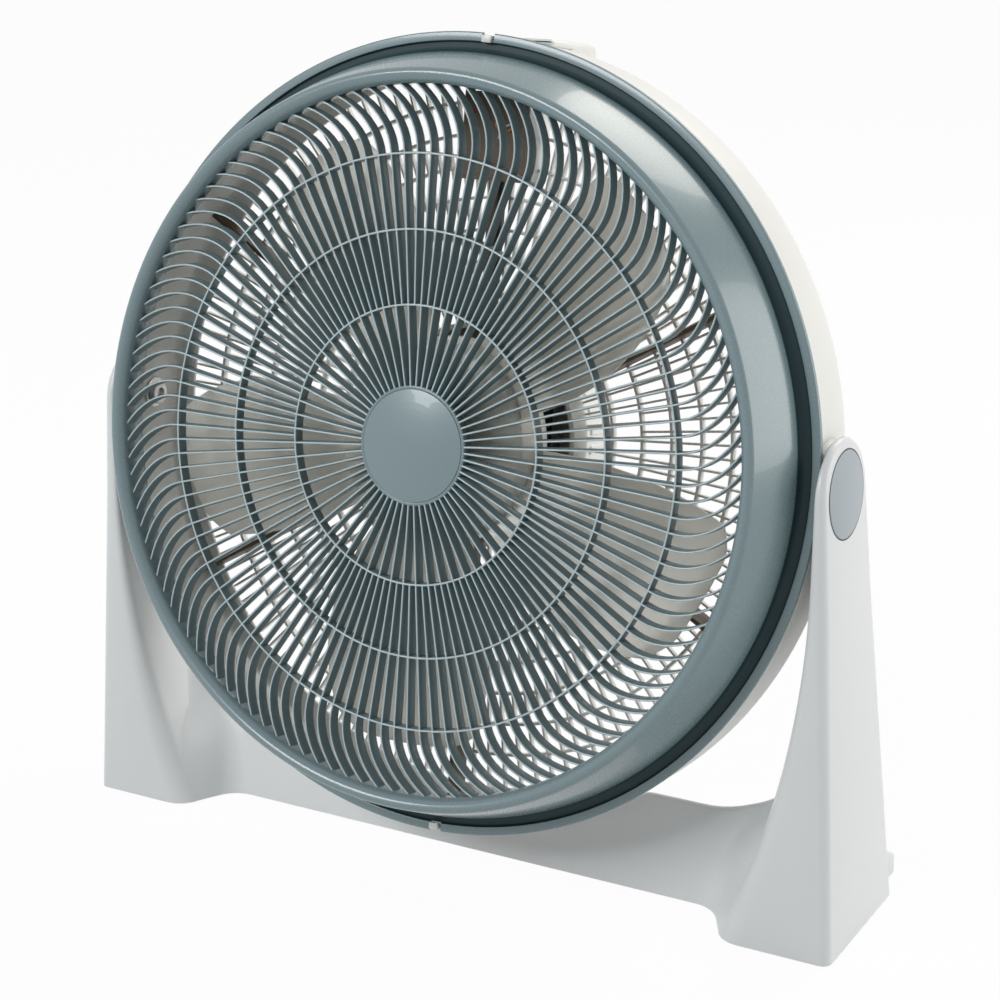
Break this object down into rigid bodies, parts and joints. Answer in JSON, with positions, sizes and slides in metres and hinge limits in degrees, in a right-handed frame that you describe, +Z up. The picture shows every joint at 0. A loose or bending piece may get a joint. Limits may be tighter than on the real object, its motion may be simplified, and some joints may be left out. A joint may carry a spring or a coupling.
{
  "type": "floor fan",
  "caption": "Round floor fan: a drum head with a ribbed front grille tilts between the uprights of a moulded stand, with a spinning impeller and a speed knob at the back.",
  "frame": {"origin": "centre of the footprint box on the floor, under the middle of the fan", "axes": "+Z up, -Y towards the front grille, +X to the right seen from the front"},
  "size_m": [0.5958, 0.2252, 0.5776],
  "materials": {
    "grille_plastic": "satin gloss",
    "badge_plastic": "satin gloss",
    "housing_plastic": "satin gloss",
    "stand_plastic": "satin gloss",
    "cap_plastic": "satin gloss",
    "blade_plastic": "satin",
    "knob_plastic": "satin",
    "rubber": "matte",
    "friction_rubber": "matte",
    "steel": "plated",
    "core_steel": "laminated",
    "copper": "enamelled wire",
    "bell_metal": "die cast",
    "plate_metal": "pressed sheet",
    "switch_plastic": "moulded",
    "lead_plastic": "insulation"
  },
  "bodies": {
    "stand": {"stand": "stand_plastic", "pivot_caps": "cap_plastic", "pivot_bolts": "steel", "pivot_nuts": "steel", "pivot_washers": "steel", "friction_washers": "friction_rubber", "rubber_feet": "rubber"},
    "head": {"front_grille": "grille_plastic", "grille_rings": "grille_plastic", "centre_badge": "badge_plastic", "rear_housing": "housing_plastic", "guard_rings": "housing_plastic", "carry_handle": "housing_plastic", "motor_cover": "housing_plastic", "motor_plate": "plate_metal", "front_bell": "bell_metal", "rear_bell": "bell_metal", "stator_core": "core_steel", "stator_coils": "copper", "rotary_switch": "switch_plastic", "capacitor": "switch_plastic", "switch_cover": "housing_plastic", "motor_leads": "lead_plastic"},
    "impeller": {"impeller": "blade_plastic", "motor_shaft": "steel", "rotor": "core_steel", "hub_nut": "steel", "drive_key": "steel"},
    "speed_knob": {"speed_knob": "knob_plastic"}
  },
  "joints": [
    {"name": "head_tilt", "type": "hinge", "parent": "stand", "child": "head", "pos_m": [0, 0.00403, 0.306], "axis": [-1, 0, 0], "range_deg": [-10.3, 79.7]},
    {"name": "fan_spin", "type": "hinge", "parent": "head", "child": "impeller", "pos_m": [0, 0.00403, 0.306], "axis": [0, -0.9839, 0.1788], "continuous": true},
    {"name": "speed_select", "type": "hinge", "parent": "head", "child": "speed_knob", "pos_m": [0, 0.09837, 0.48959], "axis": [0, -0.9839, 0.1788], "range_deg": [0, 135]}
  ]
}
